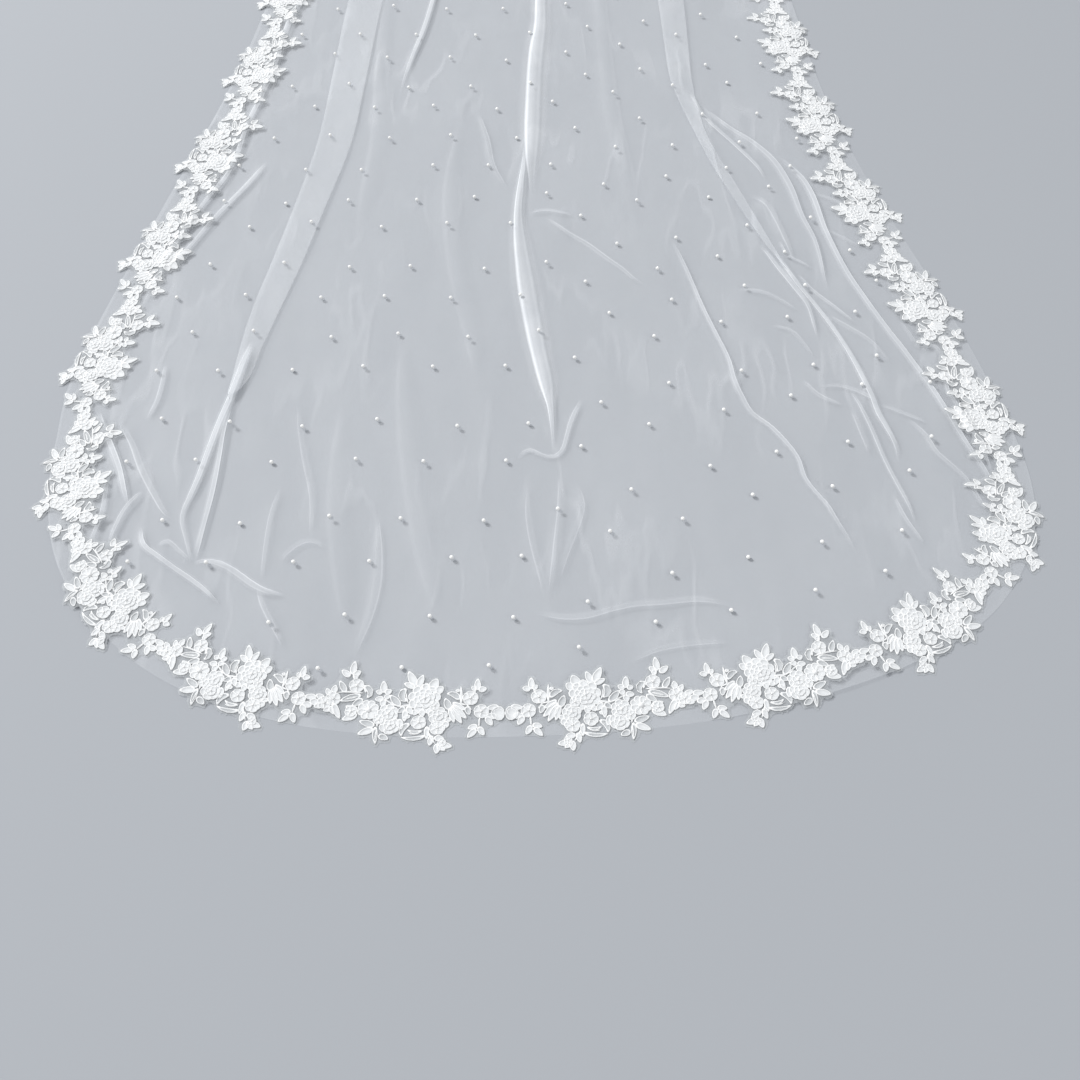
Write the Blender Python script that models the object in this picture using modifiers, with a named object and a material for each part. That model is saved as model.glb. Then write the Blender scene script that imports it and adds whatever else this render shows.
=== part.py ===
"""A bridal cape of soft tulle laid flat, edged with floral lace and gathered onto a ribbon neckband.

Metres, +Z up. The hem is at -Y, the neck at +Y, and the cloth rests on z = 0. The origin is the middle of
the laid cape, on the surface below it.
"""

import math

import bmesh
import bpy
import numpy as np
from mathutils import Vector

# Sizes of the cape, laid out
LENGTH = 2.500  # centre back, from the hem to the top of the neckband
WALL = 0.0010  # the tulle panel's wall
GAP = 0.0003  # between pieces
HEM_Y = -1.237  # the hem at centre back
WIDEST_UP = 0.470  # how far above the hem the cape is widest
WIDEST_HALF = 0.7460
HEM_SQUARE = 2.38  # below that line the outline bends as an ellipse would at 2, with squarer corners above 2
HEM_TILT = 0.037  # the hem lies higher to the right by this share
TILT_TOP = 0.20  # the tilt fades out this far up

# The neckband: a folded satin ribbon that follows a shallow neckline
BAND_WIDTH = 0.015
BAND_THICK = 0.0046
BAND_SAG = 0.030  # the neckline dips this far between its ends
PANEL_TOP_UP = LENGTH - BAND_WIDTH - BAND_SAG - GAP

# Half width of the laid cloth above its widest line
SIDE = [  # (up from the hem, half width)
    (0.470, 0.7460),
    (0.585, 0.740),
    (0.785, 0.702),
    (0.985, 0.653),
    (1.185, 0.606),
    (1.385, 0.570),
    (1.645, 0.540),
    (1.885, 0.505),
    (2.085, 0.450),
    (2.285, 0.352),
    (2.400, 0.272),
    (2.460, 0.230),
]
LAID_MIDDLE = [  # (up from the hem, x of the cloth's middle), as the cape was laid down
    (0.000, 0.0000),
    (0.150, 0.0070),
    (0.300, 0.0125),
    (0.400, 0.0110),
    (0.490, 0.0040),
    (0.590, -0.0055),
    (0.790, -0.0130),
    (0.980, -0.0180),
    (1.220, -0.0205),
    (1.370, -0.0180),
    (1.560, -0.0120),
    (1.900, -0.0070),
    (2.400, 0.0000),
]

# Folds that run down the cape, from left to right. A pleat lies over itself and a roll stands as a low tube.
# Each row: (up from the hem, x of the fold's left edge, width, height)
LEFT_PLEAT = [
    (0.250, -0.500, 0.004, 0.0000),
    (0.360, -0.506, 0.004, 0.0030),
    (0.435, -0.503, 0.005, 0.0040),
    (0.575, -0.482, 0.002, 0.0050),
    (0.590, -0.478, 0.002, 0.0060),
    (0.720, -0.462, 0.002, 0.0060),
    (0.785, -0.455, 0.032, 0.0060),
    (1.035, -0.425, 0.047, 0.0060),
    (1.335, -0.400, 0.063, 0.0060),
    (1.645, -0.380, 0.065, 0.0060),
    (1.900, -0.345, 0.060, 0.0060),
    (2.200, -0.245, 0.042, 0.0060),
    (2.370, -0.160, 0.028, 0.0060),
    (2.500, -0.100, 0.018, 0.0060),
]
SHORT_ROLL = [
    (1.330, -0.256, 0.004, 0.0000),
    (1.400, -0.250, 0.006, 0.0060),
    (1.645, -0.216, 0.012, 0.0080),
    (1.900, -0.185, 0.014, 0.0080),
    (2.200, -0.130, 0.012, 0.0080),
    (2.500, -0.070, 0.006, 0.0040),
]
MIDDLE_ROLL = [
    (0.430, 0.035, 0.003, 0.0000),
    (0.500, 0.024, 0.008, 0.0060),
    (0.585, 0.010, 0.014, 0.0080),
    (0.735, -0.010, 0.018, 0.0090),
    (0.835, -0.028, 0.020, 0.0090),
    (0.985, -0.040, 0.016, 0.0090),
    (1.100, -0.040, 0.008, 0.0060),
    (1.230, -0.045, 0.004, 0.0000),
]
TOP_ROLL = [
    (0.960, 0.000, 0.004, 0.0000),
    (1.040, -0.008, 0.014, 0.0070),
    (1.185, -0.016, 0.026, 0.0090),
    (1.385, -0.020, 0.028, 0.0100),
    (1.585, -0.012, 0.024, 0.0100),
    (1.645, -0.006, 0.022, 0.0100),
    (1.900, 0.000, 0.022, 0.0100),
    (2.200, 0.000, 0.016, 0.0080),
    (2.500, 0.000, 0.007, 0.0040),
]
SNAKE_ROLL = [
    (0.280, 0.470, 0.003, 0.0000),
    (0.355, 0.440, 0.005, 0.0050),
    (0.485, 0.380, 0.007, 0.0060),
    (0.555, 0.340, 0.006, 0.0060),
    (0.655, 0.310, 0.006, 0.0070),
    (0.785, 0.280, 0.006, 0.0070),
    (0.900, 0.250, 0.003, 0.0000),
]
RIGHT_PLEAT = [
    (0.360, 0.575, 0.003, 0.0000),
    (0.470, 0.560, 0.003, 0.0025),
    (0.600, 0.508, 0.003, 0.0040),
    (0.700, 0.460, 0.002, 0.0050),
    (0.760, 0.438, 0.002, 0.0060),
    (0.840, 0.414, 0.002, 0.0060),
    (0.890, 0.400, 0.020, 0.0060),
    (1.085, 0.340, 0.027, 0.0060),
    (1.285, 0.285, 0.032, 0.0060),
    (1.385, 0.262, 0.038, 0.0060),
    (1.645, 0.250, 0.050, 0.0060),
    (1.900, 0.225, 0.050, 0.0060),
    (2.200, 0.165, 0.036, 0.0060),
    (2.370, 0.115, 0.024, 0.0060),
    (2.500, 0.078, 0.014, 0.0060),
]
BRANCH_ROLL = [
    (0.900, 0.492, 0.004, 0.0000),
    (1.005, 0.472, 0.008, 0.0070),
    (1.135, 0.432, 0.014, 0.0080),
    (1.255, 0.360, 0.014, 0.0080),
    (1.385, 0.325, 0.010, 0.0060),
    (1.480, 0.316, 0.004, 0.0000),
]
OUTER_ROLL = [
    (0.470, 0.622, 0.003, 0.0000),
    (0.520, 0.612, 0.006, 0.0060),
    (0.585, 0.604, 0.009, 0.0080),
    (0.735, 0.562, 0.010, 0.0080),
    (0.805, 0.540, 0.012, 0.0080),
    (0.935, 0.508, 0.014, 0.0080),
    (1.115, 0.470, 0.008, 0.0060),
    (1.220, 0.455, 0.003, 0.0000),
]
FOLDS = [
    ("pleat", LEFT_PLEAT),
    ("roll", SHORT_ROLL),
    ("roll", MIDDLE_ROLL),
    ("roll", TOP_ROLL),
    ("roll", SNAKE_ROLL),
    ("pleat", RIGHT_PLEAT),
    ("roll", BRANCH_ROLL),
    ("roll", OUTER_ROLL),
]
PLAIN_COLUMNS = [4, 5, 5, 2, 7, 3, 2, 2, 4]  # grid columns in the plain cloth before, between and after the folds

LAYER_PITCH = 0.0020  # from one layer of a pleat to the next
FOOT = 0.009  # a roll's slope down to the floor
PLEAT_FULL = 0.006  # a pleat this high or higher lies in three layers
PLEAT_FOOT = 0.010
OPENED = [1.0, 0.75, 0.55, 0.4, 0.25, 0.12, 0.0]  # shares of the foot's width up to the crest of an open pleat
PLEAT_STEP = 0.012  # how far the top layer of a pleat slopes down past the fold
LEAST_FOLD = 0.0015
FULL_FOOT_HALF = 0.42  # where the cape is narrower than this, the slopes beside its folds are steeper
CLOSEST_COLUMNS = 0.0015  # where the cloth is gathered in
STEEPEST = 0.8

# Gathers under the neckband
GATHER_HEIGHT = 0.011
GATHER_PINCHED = 0.0032  # their height at the band
GATHER_LENGTH = 0.62  # they fade out over this length
TROUGH_LIFT = 0.0002  # keeps the underside of a trough from passing below the floor
EDGE_FLAT = [0.0, 0.040, 0.080, 0.112]  # columns under the lace, which keeps the edge flat

ROWS_ABOVE = 21  # grid rows above the widest line
ROWS_BELOW = 6
ROW_SPREAD = 1.1  # rows lie closer towards the neck

# The lace trim, in its own plan: s runs along the edge and w from the panel's edge inwards
TRIM_RUNS = {  # name: (direction from the join, repeats, how much each repeat is eased shorter than the last)
    "right": (1, 13, 0.0018),
    "left": (-1, 12, 0.0),
}
JOIN_S = -0.036  # the two mirrored runs of trim meet this far along the hem from its middle
REPEAT = 0.2375
LACE_THICK = 0.0012
EDGE_STEPS = 180
EDGE_AIM = 0.004  # the edge's direction is read this far to both sides
LACE_OUTLINE = [  # (s, w) in millimetres, round one repeat
    (0, 46), (20, 47), (25, 62), (29, 84), (38, 80), (44, 66), (66, 76), (78, 70), (88, 82), (104, 82),
    (114, 96), (123, 78), (142, 64), (152, 81), (164, 66), (180, 80), (190, 105), (199, 86), (208, 64),
    (224, 58), (237.5, 46),
    (237.5, 21), (222, 21), (207, 14), (190, 12), (176, -2), (162, -14), (152, 3), (136, 6), (122, -6),
    (104, 2), (93, -12), (84, -25), (73, -12), (74, 6), (58, 16), (43, 1), (29, -6), (21, 12), (0, 21),
]
JOIN_END = 20  # where the outline reaches the next repeat
LACE_BLOOMS = [  # (s, w, radius in millimetres, sides, height over the lace in millimetres)
    (99, 54, 18.5, 8, 2.4),
    (172, 37, 11.5, 7, 1.8),
    (84, 27, 10.5, 6, 1.8),
    (142, 26, 12.0, 6, 2.0),
    (33, 34, 10.0, 5, 1.5),
    (215, 44, 9.5, 5, 1.5),
]

# Hook and eye of bent wire, at the ends of the neckband
WIRE = 0.0013
FASTENER_RADIUS = 0.0028

cape = bpy.data.collections.new("bridal_cape")
helpers = bpy.data.collections.new("helpers")


def start_clean():
    for obj in list(bpy.data.objects):
        bpy.data.objects.remove(obj, do_unlink=True)
    bpy.context.scene.collection.children.link(cape)
    bpy.context.scene.collection.children.link(helpers)


def material(name, colour, roughness, metallic=0.0):
    made = bpy.data.materials.new(name)
    made.use_nodes = True
    shader = made.node_tree.nodes["Principled BSDF"]
    shader.inputs["Base Color"].default_value = (*colour, 1.0)
    shader.inputs["Roughness"].default_value = roughness
    shader.inputs["Metallic"].default_value = metallic
    return made


def place(name, mesh, finish, home=None):
    obj = bpy.data.objects.new(name, mesh)
    (home or cape).objects.link(obj)
    mesh.materials.clear()
    mesh.materials.append(finish)
    return obj


def through(rows, at, column):
    """A smooth curve through the rows of a table, read at a value of its first column."""
    table = np.array(rows, float)
    x, y = table[:, 0], table[:, column]
    slope = np.gradient(y, x)
    at = min(max(at, x[0]), x[-1])
    i = min(max(int(np.searchsorted(x, at)) - 1, 0), len(x) - 2)
    step = x[i + 1] - x[i]
    t = (at - x[i]) / step
    start = y[i] * (2 * t**3 - 3 * t**2 + 1) + slope[i] * step * (t**3 - 2 * t**2 + t)
    end = y[i + 1] * (3 * t**2 - 2 * t**3) + slope[i + 1] * step * (t**3 - t**2)
    return start + end


def smooth(low, high, value):
    t = min(max((value - low) / (high - low), 0.0), 1.0)
    return t * t * (3 - 2 * t)


def plan(across, down):
    """The plan of the laid cloth: across is -1 to 1 from side to side, and down is 1 at the hem, 0 at the
    widest line and -1 at the neckband."""
    if down > 0:
        up = WIDEST_UP - WIDEST_UP * down * (1 - abs(across) ** HEM_SQUARE / 2) ** (1 / HEM_SQUARE)
    else:
        up = WIDEST_UP - down * (PANEL_TOP_UP - WIDEST_UP)
        up += BAND_SAG * across * across * smooth(PANEL_TOP_UP - 0.5, PANEL_TOP_UP, up)
    x = across * half_width(down) + through(LAID_MIDDLE, up, 1)
    return x, up + HEM_TILT * x * (1 - smooth(0, TILT_TOP, up))


def half_width(down):
    if down > 0:
        return WIDEST_HALF * (1 - down**HEM_SQUARE / 2) ** (1 / HEM_SQUARE)
    return through(SIDE, WIDEST_UP - down * (PANEL_TOP_UP - WIDEST_UP), 1)


def half_at(up):
    """Half width of the grid row whose middle lies this far up from the hem."""
    return half_width((WIDEST_UP - up) / (WIDEST_UP if up < WIDEST_UP else PANEL_TOP_UP - WIDEST_UP))


def fold_across(table, down):
    """Where a fold's left edge crosses a grid row, and how far up the cloth that is."""
    across = 0.0
    for _ in range(8):
        up = plan(across, down)[1]
        inside = min(max(up, table[0][0]), table[-1][0])
        half = half_width(down) if inside == up else half_at(inside)
        across = (through(table, inside, 1) - through(LAID_MIDDLE, inside, 1)) / half
    return across, plan(across, down)[1]


def pleat_section(width, height, squeeze):
    """(offset from the fold's left edge, z) of the cloth through a pleat that lies in three layers. Where it
    opens out, at less than its full height, it is one slope up to a crest."""
    top = 2 * LAYER_PITCH
    turn = LAYER_PITCH / 2
    layered = [
        (-PLEAT_FOOT * squeeze, 0), (width, 0), (width + turn, 0.2 * top), (width, 0.4 * top), (0, 0.6 * top),
        (-turn, 0.8 * top), (0, top), (width + 2 * turn, top), (width + PLEAT_STEP * squeeze, 0),
    ]
    if height >= PLEAT_FULL:
        return layered
    slope = [-share * PLEAT_FOOT * squeeze for share in OPENED]
    opened = slope + [dx for dx, _ in layered[len(OPENED):]]
    return [(dx, z * height / PLEAT_FULL) for dx, (_, z) in zip(opened, layered)]


def roll_section(width, height, squeeze):
    foot = FOOT * squeeze
    return [(-foot, 0), (0, 0.75 * height), (width / 2, height), (width, 0.75 * height), (width + foot, 0)]


SECTIONS = {"pleat": pleat_section, "roll": roll_section}


def fold_blocks(down):
    """Every fold's (across, z) through one grid row. A fold past its table's end keeps its place between its
    neighbours, with no height."""
    scale = half_width(down)
    squeeze = min(1.0, (scale - EDGE_FLAT[-1]) / (FULL_FOOT_HALF - EDGE_FLAT[-1]))
    closest = CLOSEST_COLUMNS / scale
    slant = half_width(max(min(down, 0), -0.99) - 0.01) - half_width(max(min(down, 0), -0.99))
    flat = [inside * math.hypot(1, slant / (0.01 * PANEL_TOP_UP)) / scale for inside in EDGE_FLAT]
    blocks = [[(share - 1, 0.0) for share in flat]]
    for (kind, table), columns in zip(FOLDS, PLAIN_COLUMNS):
        across, up = fold_across(table, down)
        width = max(LEAST_FOLD, through(table, up, 2))
        height = max(0.0, through(table, up, 3))
        across = max(across, blocks[-1][-1][0] + (columns + 1) * closest + FOOT * squeeze / scale)
        section = SECTIONS[kind](width, height, squeeze)
        blocks.append([(across + dx / scale, z) for dx, z in section])
    blocks.append([(1 - share, 0.0) for share in reversed(flat)])
    for k in range(len(blocks) - 2, 0, -1):
        over = blocks[k][-1][0] + (PLAIN_COLUMNS[k] + 1) * closest - blocks[k + 1][0][0]
        if over > 0:
            blocks[k] = [(across - over, z) for across, z in blocks[k]]
    return blocks


def row_of_cloth(down):
    """(x, y, z) of the panel's middle surface along one grid row, from the left side to the right."""
    left, *blocks = fold_blocks(down)
    points = list(left)  # (across, z), with None for z in the plain cloth
    for block, columns in zip(blocks, PLAIN_COLUMNS):
        steps = np.linspace(points[-1][0], block[0][0], columns + 2)
        points += [(across, None) for across in steps[1:-1]]
        points += block
    scale = half_width(down)
    neck_away = PANEL_TOP_UP - plan(0, down)[1]
    fade = 1 - smooth(0, GATHER_LENGTH, neck_away)
    puff = GATHER_PINCHED + (GATHER_HEIGHT - GATHER_PINCHED) * smooth(0, 0.05, neck_away)
    made, crest = [], False
    for i, (across, z) in enumerate(points):
        x, up = plan(across, down)
        crest = z is None and not crest
        if z is None:
            room = min(across - points[i - 1][0], points[i + 1][0] - across) * scale
            z = min(fade * puff, room * STEEPEST) if crest else fade * TROUGH_LIFT
        made.append(Vector((x, HEM_Y + up, WALL / 2 + z)))
    return made


def build_panel(finish):
    """The tulle panel: one cut of cloth, as a grid whose columns follow the folds."""
    above = [(i / ROWS_ABOVE) ** ROW_SPREAD - 1 for i in range(ROWS_ABOVE)]
    below = [math.sin(math.pi / 2 * i / ROWS_BELOW) for i in range(ROWS_BELOW + 1)]
    rows = [row_of_cloth(down) for down in above + below]
    across = len(rows[0])
    bm = bmesh.new()
    bmesh.ops.create_grid(bm, x_segments=across - 1, y_segments=len(rows) - 1, size=0.5)
    for vert in bm.verts:
        column = round((vert.co.x + 0.5) * (across - 1))
        row = round((0.5 - vert.co.y) * (len(rows) - 1))
        vert.co = rows[row][column]
    mesh = bpy.data.meshes.new("panel")
    bm.to_mesh(mesh)
    bm.free()
    panel = place("panel", mesh, finish)
    wall = panel.modifiers.new("wall", "SOLIDIFY")
    wall.thickness = WALL
    wall.offset = 0.0
    wall.use_even_offset = True
    return panel


def edge_line():
    """The panel's edge from the neckband on the left, round the hem, to the neckband on the right, as rows of
    (arc length from the middle of the hem, x, up) close together."""
    left = [plan(-1, down) for down in np.linspace(-1, 1, EDGE_STEPS)]
    hem = [plan(across, 1) for across in np.linspace(-1, 1, EDGE_STEPS + 1)[1:-1]]
    right = [plan(1, down) for down in np.linspace(1, -1, EDGE_STEPS)]
    points = np.array(left + hem + right)
    run = np.concatenate([[0], np.cumsum(np.hypot(*np.diff(points, axis=0).T))])
    return np.column_stack([run - run[len(run) // 2], points])


def edge_frame(line, s):
    """The edge's point at arc length s from the middle of the hem, and the way in from it."""
    ahead, behind = min(s + EDGE_AIM, line[-1, 0]), max(s - EDGE_AIM, line[0, 0])
    dx, dy = (np.interp(ahead, line[:, 0], line[:, k]) - np.interp(behind, line[:, 0], line[:, k]) for k in (1, 2))
    long = math.hypot(dx, dy)
    return *(np.interp(s, line[:, 0], line[:, k]) for k in (1, 2)), -dy / long, dx / long


def lace_repeat():
    """One repeat of the trim, flat: its net ground cut round the flowers, with the largest blooms raised."""
    bm = bmesh.new()
    corners = []
    for s, w in LACE_OUTLINE:
        nudge = GAP / 2 if s == 0 else -GAP / 2 if s == LACE_OUTLINE[JOIN_END][0] else 0
        corners.append(bm.verts.new((s / 1000 + nudge, w / 1000, -LACE_THICK / 2)))
    bm.faces.new(corners)
    sheet = bmesh.ops.triangulate(bm, faces=bm.faces)
    raised = bmesh.ops.extrude_face_region(bm, geom=sheet["faces"])["geom"]
    lifted = [part for part in raised if isinstance(part, bmesh.types.BMVert)]
    bmesh.ops.translate(bm, verts=lifted, vec=(0, 0, LACE_THICK))
    bmesh.ops.recalc_face_normals(bm, faces=bm.faces)
    mesh = bpy.data.meshes.new("ground")
    bm.to_mesh(mesh)
    bm.free()
    ground = bpy.data.objects.new("ground", mesh)
    helpers.objects.link(ground)
    for s, w, radius, sides, height in LACE_BLOOMS:
        bm = bmesh.new()
        tall = LACE_THICK + height / 1000
        bmesh.ops.create_cone(
            bm, cap_ends=True, segments=sides, radius1=radius / 1000, radius2=radius / 2400, depth=tall
        )
        bmesh.ops.translate(bm, verts=bm.verts, vec=(s / 1000, w / 1000, tall / 2 - LACE_THICK / 4))
        mesh = bpy.data.meshes.new("bloom")
        bm.to_mesh(mesh)
        bm.free()
        bloom = bpy.data.objects.new("bloom", mesh)
        bloom.hide_render = True
        bloom.display_type = "WIRE"
        helpers.objects.link(bloom)
        join = ground.modifiers.new("bloom", "BOOLEAN")
        join.operation = "UNION"
        join.object = bloom
    graph = bpy.context.evaluated_depsgraph_get()
    graph.update()
    whole = bpy.data.meshes.new_from_object(ground.evaluated_get(graph))
    for obj in list(helpers.objects):
        bpy.data.objects.remove(obj, do_unlink=True)
    return whole


def weld(mesh):
    bm = bmesh.new()
    bm.from_mesh(mesh)
    bmesh.ops.remove_doubles(bm, verts=bm.verts, dist=1e-6)
    bmesh.ops.recalc_face_normals(bm, faces=bm.faces)
    bm.to_mesh(mesh)
    bm.free()


def build_lace(finish):
    """The trim, laid over the panel's edge in two mirrored runs from the hem up to the neckband."""
    whole = lace_repeat()
    line = edge_line()
    floor = WALL + GAP + LACE_THICK / 2
    for name, (side, repeats, ease) in TRIM_RUNS.items():
        run = abs((line[-1, 0] if side > 0 else line[0, 0]) - JOIN_S) - GAP
        pitches = run / repeats + ease * (repeats / 2 - 0.5 - np.arange(repeats))
        starts = np.concatenate([[0], np.cumsum(pitches)])
        for k, pitch in enumerate(pitches):
            mesh = whole.copy()
            for vert in mesh.vertices:
                s = JOIN_S + side * (starts[k] + vert.co.x * pitch / REPEAT)
                x, up, inward_x, inward_y = edge_frame(line, s)
                w = vert.co.y
                vert.co = (x + w * inward_x, HEM_Y + up + w * inward_y, floor + vert.co.z)
            if side < 0:
                mesh.flip_normals()
            place(f"lace_{name}_{k + 1:02d}", mesh, finish)


def neckline(across):
    """The middle of the neckband's lower edge, across -1 to 1."""
    return across * plan(1, -1)[0], HEM_Y + PANEL_TOP_UP + GAP + BAND_SAG * across * across


def build_neckband(finish):
    """A ribbon folded over the gathered top edge: a flat strip that follows the neckline."""
    steps = 20
    curve = bpy.data.curves.new("neckband", "CURVE")
    curve.dimensions = "2D"
    curve.fill_mode = "BOTH"
    curve.extrude = BAND_THICK / 2
    low = [neckline(2 * k / steps - 1) for k in range(steps + 1)]
    high = [(x, y + BAND_WIDTH) for x, y in reversed(low)]
    line = curve.splines.new("POLY")
    line.points.add(len(low + high) - 1)
    for point, (x, y) in zip(line.points, low + high):
        point.co = (x, y, 0, 1)
    line.use_cyclic_u = True
    drawn = bpy.data.objects.new("neckband_line", curve)
    helpers.objects.link(drawn)
    graph = bpy.context.evaluated_depsgraph_get()
    mesh = bpy.data.meshes.new_from_object(drawn.evaluated_get(graph))
    bpy.data.objects.remove(drawn)
    weld(mesh)
    band = place("neckband", mesh, finish)
    band.location.z = BAND_THICK / 2
    return band


def wire_piece(name, points, finish):
    curve = bpy.data.curves.new(name, "CURVE")
    curve.dimensions = "3D"
    curve.bevel_depth = WIRE / 2
    curve.bevel_resolution = 1
    curve.use_fill_caps = True
    line = curve.splines.new("POLY")
    line.points.add(len(points) - 1)
    for point, (x, y, z) in zip(line.points, points):
        point.co = (x, y, z, 1)
    obj = bpy.data.objects.new(name, curve)
    cape.objects.link(obj)
    curve.materials.append(finish)
    return obj


def build_fastener(finish):
    """A dress hook at the right end of the neckband and its eye at the left end, each of bent wire."""
    end_x, end_y = neckline(1)
    middle_y = end_y + BAND_WIDTH / 2
    start = end_x + GAP + WIRE / 2
    z = BAND_THICK / 2
    r = FASTENER_RADIUS
    arc = [(start + 0.006 + r * math.sin(a), middle_y, z + r - r * math.cos(a)) for a in np.linspace(0, 2.8, 7)]
    hook = [(start, middle_y, z), (start + 0.003, middle_y, z)] + arc
    loop = [
        (-start - 0.003 - r + r * math.cos(a), middle_y + r * math.sin(a), z) for a in np.linspace(0.5, 5.78, 11)
    ]
    eye = [(-start, middle_y + 0.0022, z)] + loop + [(-start, middle_y - 0.0022, z)]
    wire_piece("hook", hook, finish)
    wire_piece("eye", eye, finish)


start_clean()
build_panel(material("tulle", (0.86, 0.88, 0.90), 0.55))
build_lace(material("lace", (0.93, 0.93, 0.91), 0.70))
build_neckband(material("satin_ribbon", (0.90, 0.90, 0.88), 0.35))
build_fastener(material("silver_wire", (0.75, 0.75, 0.76), 0.30, metallic=1.0))
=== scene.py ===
import math

import bmesh
import bpy
import numpy as np
from mathutils import Matrix, Vector


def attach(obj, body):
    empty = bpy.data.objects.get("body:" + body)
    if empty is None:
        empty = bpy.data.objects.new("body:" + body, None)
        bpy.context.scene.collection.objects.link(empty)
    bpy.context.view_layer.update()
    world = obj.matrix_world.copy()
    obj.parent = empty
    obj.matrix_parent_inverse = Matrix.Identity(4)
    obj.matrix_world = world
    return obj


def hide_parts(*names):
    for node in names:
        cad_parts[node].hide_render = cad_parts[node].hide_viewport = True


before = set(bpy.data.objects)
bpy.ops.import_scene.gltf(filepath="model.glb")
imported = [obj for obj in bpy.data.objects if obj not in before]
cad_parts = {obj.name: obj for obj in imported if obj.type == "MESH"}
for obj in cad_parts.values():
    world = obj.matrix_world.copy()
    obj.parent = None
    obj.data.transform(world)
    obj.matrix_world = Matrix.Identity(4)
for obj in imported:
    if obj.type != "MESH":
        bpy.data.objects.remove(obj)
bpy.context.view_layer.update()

# The cape lies on a plain pale floor, hem towards the camera, under one large soft light from the upper left
# and a weaker fill. The camera looks down on it as on cloth spread out at one's feet.
EYE = (0.010, -1.852, 1.450)
EYE_PITCH = 57.5  # degrees below the horizontal
EYE_LENS = 39.0
EYE_SENSOR = 36.0
FLOOR_HALF = 14.0
FLOOR_COLOUR = (0.380, 0.396, 0.420)
KEY_PLACE = (-8.3, 4.9, 8.5)
KEY_SIZE = 2.7
KEY_POWER = 1560.0
FILL_PLACE = (3.4, -3.6, 4.8)
FILL_SIZE = 4.5
FILL_POWER = 75.0
SKY_LIGHT = 0.54
SKY_COLOUR = (0.93, 0.96, 1.0)


def add_object(name, data):
    """A new object in the scene."""
    made = bpy.data.objects.new(name, data)
    bpy.context.scene.collection.objects.link(made)
    return made


def mesh_of(bm, name):
    """The mesh that the bmesh has built, smoothly shaded."""
    mesh = bpy.data.meshes.new(name)
    bm.to_mesh(mesh)
    bm.free()
    mesh.shade_smooth()
    return mesh


eye_data = bpy.data.cameras.new("eye")
eye_data.lens = EYE_LENS
eye_data.sensor_width = EYE_SENSOR
eye = add_object("eye", eye_data)
eye.location = EYE
eye.rotation_euler = (math.radians(90 - EYE_PITCH), 0, 0)
bpy.context.scene.camera = eye
bpy.context.scene.view_settings.view_transform = "Standard"


class Amount:
    """A value in a material, which can be reckoned with as a number can."""

    def __init__(self, finish, socket):
        self.finish = finish
        self.socket = socket

    def _math(self, operation, first, second):
        return self.finish.out("ShaderNodeMath", {"operation": operation}, {0: first, 1: second})

    def __add__(self, other):
        return self._math("ADD", self, other)

    def __radd__(self, other):
        return self._math("ADD", other, self)

    def __sub__(self, other):
        return self._math("SUBTRACT", self, other)

    def __rsub__(self, other):
        return self._math("SUBTRACT", other, self)

    def __mul__(self, other):
        return self._math("MULTIPLY", self, other)

    def __rmul__(self, other):
        return self._math("MULTIPLY", other, self)

    def __pow__(self, other):
        return self._math("POWER", self, other)

    def __rpow__(self, other):
        return self._math("POWER", other, self)


class Finish:
    """A material for one kind of cloth, thread, metal or pearl."""

    def __init__(self, name, **fixed):
        self.material = bpy.data.materials.new(name)
        self.material.use_nodes = True
        self.nodes = self.material.node_tree.nodes
        self.links = self.material.node_tree.links
        self.shader = self.nodes["Principled BSDF"]
        self.put(self.shader, {key.replace("_", " ").title(): value for key, value in fixed.items()})

    def put(self, node, values):
        for key, value in values.items():
            socket = node.inputs[key]
            if isinstance(value, Amount):
                self.links.new(value.socket, socket)
            else:
                socket.default_value = value

    def out(self, kind, settings=None, values=None, output=0):
        node = self.nodes.new(kind)
        for key, value in (settings or {}).items():
            if key == "stops":
                self.set_stops(node.color_ramp, value)
            else:
                setattr(node, key, value)
        self.put(node, values or {})
        return Amount(self, node.outputs[output])

    def set_stops(self, ramp, stops):
        ramp.interpolation = "EASE"
        while len(ramp.elements) < len(stops):
            ramp.elements.new(0.5)
        for element, (at, grey) in zip(ramp.elements, stops):
            element.position = at
            element.color = (grey, grey, grey, 1.0)

    def ramp(self, stops, value):
        return self.out("ShaderNodeValToRGB", {"stops": stops}, {"Fac": value}, output="Color")

    def mixed(self, share, first, second):
        return self.out("ShaderNodeMix", {"data_type": "RGBA"}, {0: share, 6: first, 7: second}, output=2)

    def place(self):
        return self.out("ShaderNodeTexCoord", output="Object")

    def stretched(self, scales):
        return self.out("ShaderNodeVectorMath", {"operation": "MULTIPLY"}, {0: self.place(), 1: scales})

    def value(self, attribute):
        return self.out("ShaderNodeAttribute", {"attribute_name": attribute}, output="Fac")

    def noise(self, scale, detail=2.0, at=None):
        values = {"Vector": at or self.place(), "Scale": scale, "Detail": detail}
        return self.out("ShaderNodeTexNoise", None, values, output="Fac")

    def bump(self, height, distance, strength=1.0):
        values = {"Height": height, "Distance": distance, "Strength": strength}
        self.put(self.shader, {"Normal": self.out("ShaderNodeBump", None, values)})


def soft_light(name, place, size, power):
    data = bpy.data.lights.new(name, "AREA")
    data.shape = "DISK"
    data.size = size
    data.energy = power
    lamp = add_object(name, data)
    lamp.location = place
    lamp.rotation_euler = Vector(place).to_track_quat("Z", "Y").to_euler()


soft_light("key", KEY_PLACE, KEY_SIZE, KEY_POWER)
soft_light("fill", FILL_PLACE, FILL_SIZE, FILL_POWER)
sky = bpy.data.worlds.new("studio")
sky.use_nodes = True
background = sky.node_tree.nodes["Background"]
background.inputs["Color"].default_value = (*SKY_COLOUR, 1.0)
background.inputs["Strength"].default_value = SKY_LIGHT
bpy.context.scene.world = sky

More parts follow.
